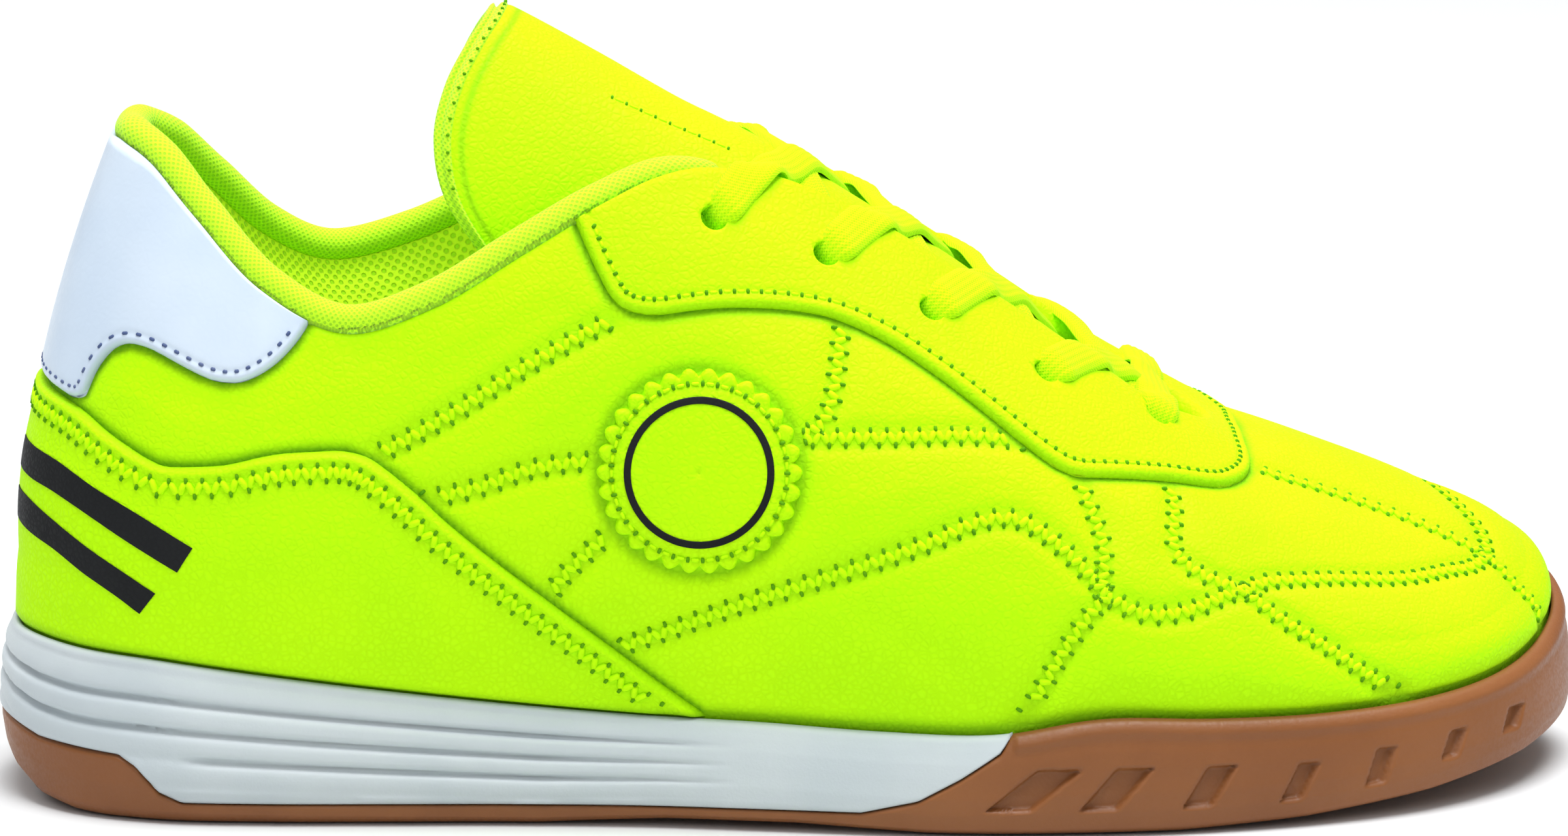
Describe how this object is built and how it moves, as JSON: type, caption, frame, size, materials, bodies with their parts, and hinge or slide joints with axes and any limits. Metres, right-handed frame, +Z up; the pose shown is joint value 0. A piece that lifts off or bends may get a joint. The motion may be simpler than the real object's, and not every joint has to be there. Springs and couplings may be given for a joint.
{
  "type": "indoor court shoe",
  "caption": "Low junior indoor court shoe for the right foot: hollow lasted upper, padded tongue, flat laces, white midsole and gum outsole that wraps over the toe.",
  "frame": {"origin": "centre of the bounding box in plan, on the ground plane under the sole", "axes": "+X from heel to toe, +Y towards the inner (medial) side, +Z up"},
  "size_m": [0.232, 0.0833, 0.1144],
  "materials": {
    "outsole": "satin gum rubber",
    "midsole": "matte foam with a cool grey shade",
    "insole": "woven top cover",
    "upper": "grained synthetic leather, soft sheen",
    "tongue": "padded, soft sheen",
    "eyestay": "grained synthetic leather, stitched edge",
    "heel_counter": "smooth coated, slight gloss",
    "quarter_overlay": "grained synthetic leather, stitched edge",
    "collar_piping": "knit, matte",
    "round_patch": "pinked edge, soft sheen",
    "laces": "flat woven, matte"
  },
  "bodies": {
    "root": {"outsole": "outsole", "midsole": "midsole", "insole": "insole", "upper": "upper", "tongue": "tongue", "eyestay": "eyestay", "heel_counter": "heel_counter", "quarter_overlay": "quarter_overlay", "collar_piping": "collar_piping", "round_patch": "round_patch", "laces": "laces"}
  },
  "joints": []
}
